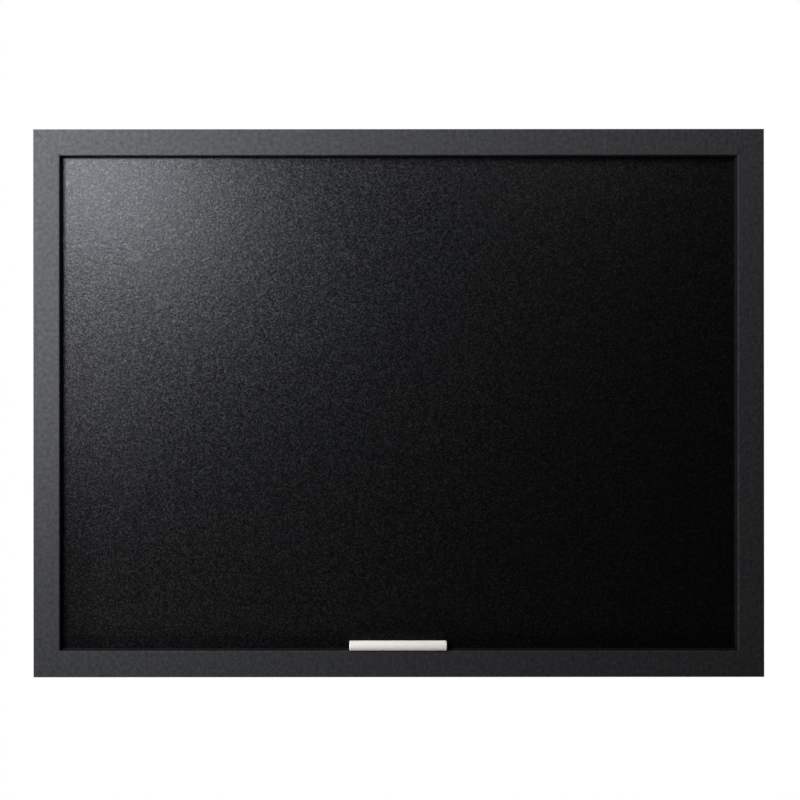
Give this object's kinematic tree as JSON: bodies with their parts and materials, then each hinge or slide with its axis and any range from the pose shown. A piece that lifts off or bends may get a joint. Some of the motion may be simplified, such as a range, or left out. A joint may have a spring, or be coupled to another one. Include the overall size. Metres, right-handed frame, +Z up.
{
  "type": "wall chalkboard",
  "caption": "Wall chalkboard: a dark square-edged frame, mitred at its corners, round a recessed black writing panel, with a chalk stick on its ledge and hanger rings behind.",
  "frame": {"origin": "where the left wall hook bears, under the crown of the left hanger ring, on the back of the board", "axes": "+X to the writer's right along the frame's width, +Y into the wall, +Z up"},
  "size_m": [0.6, 0.0214, 0.45],
  "materials": {
    "frame_foil": "matt charcoal foil wrapped round fibreboard",
    "point_steel": "plain spring steel",
    "nail_steel": "plain steel strip",
    "chalk_surface": "black writing lacquer with a fine grain",
    "hardboard": "pressed brown fibre",
    "balance_paper": "brown kraft paper",
    "strap_steel": "zinc-plated strip",
    "ring_steel": "zinc-plated wire",
    "screw_steel": "zinc-plated",
    "pad_rubber": "soft matt rubber",
    "chalk": "dry off-white pressed chalk"
  },
  "bodies": {
    "board": {"backing_paper": "balance_paper", "corner_nails_bottom_left": "nail_steel", "corner_nails_bottom_right": "nail_steel", "corner_nails_top_left": "nail_steel", "corner_nails_top_right": "nail_steel", "hanger_screw_left": "screw_steel", "hanger_screw_right": "screw_steel", "hanger_strap_left": "strap_steel", "hanger_strap_right": "strap_steel", "panel_core": "hardboard", "rail_bottom": "frame_foil", "rail_left": "frame_foil", "rail_right": "frame_foil", "rail_top": "frame_foil", "retaining_points_bottom": "point_steel", "retaining_points_left": "point_steel", "retaining_points_right": "point_steel", "retaining_points_top": "point_steel", "wall_pad_left": "pad_rubber", "wall_pad_right": "pad_rubber", "writing_sheet": "chalk_surface"},
    "ring_left": {"hanger_ring_left": "ring_steel"},
    "ring_right": {"hanger_ring_right": "ring_steel"},
    "chalk": {"chalk_stick": "chalk"}
  },
  "joints": [
    {"name": "ring_left_swing", "type": "hinge", "parent": "board", "child": "ring_left", "pos_m": [0, 0, -0.0082], "axis": [-1, 0, 0], "range_deg": [-4, 172]},
    {"name": "ring_right_swing", "type": "hinge", "parent": "board", "child": "ring_right", "pos_m": [0.585, 0, -0.0082], "axis": [-1, 0, 0], "range_deg": [-4, 172]},
    {"name": "chalk_lift_off", "type": "slide", "parent": "board", "child": "chalk", "axis": [0, -1, 0], "range_m": [0, 0.04]}
  ]
}
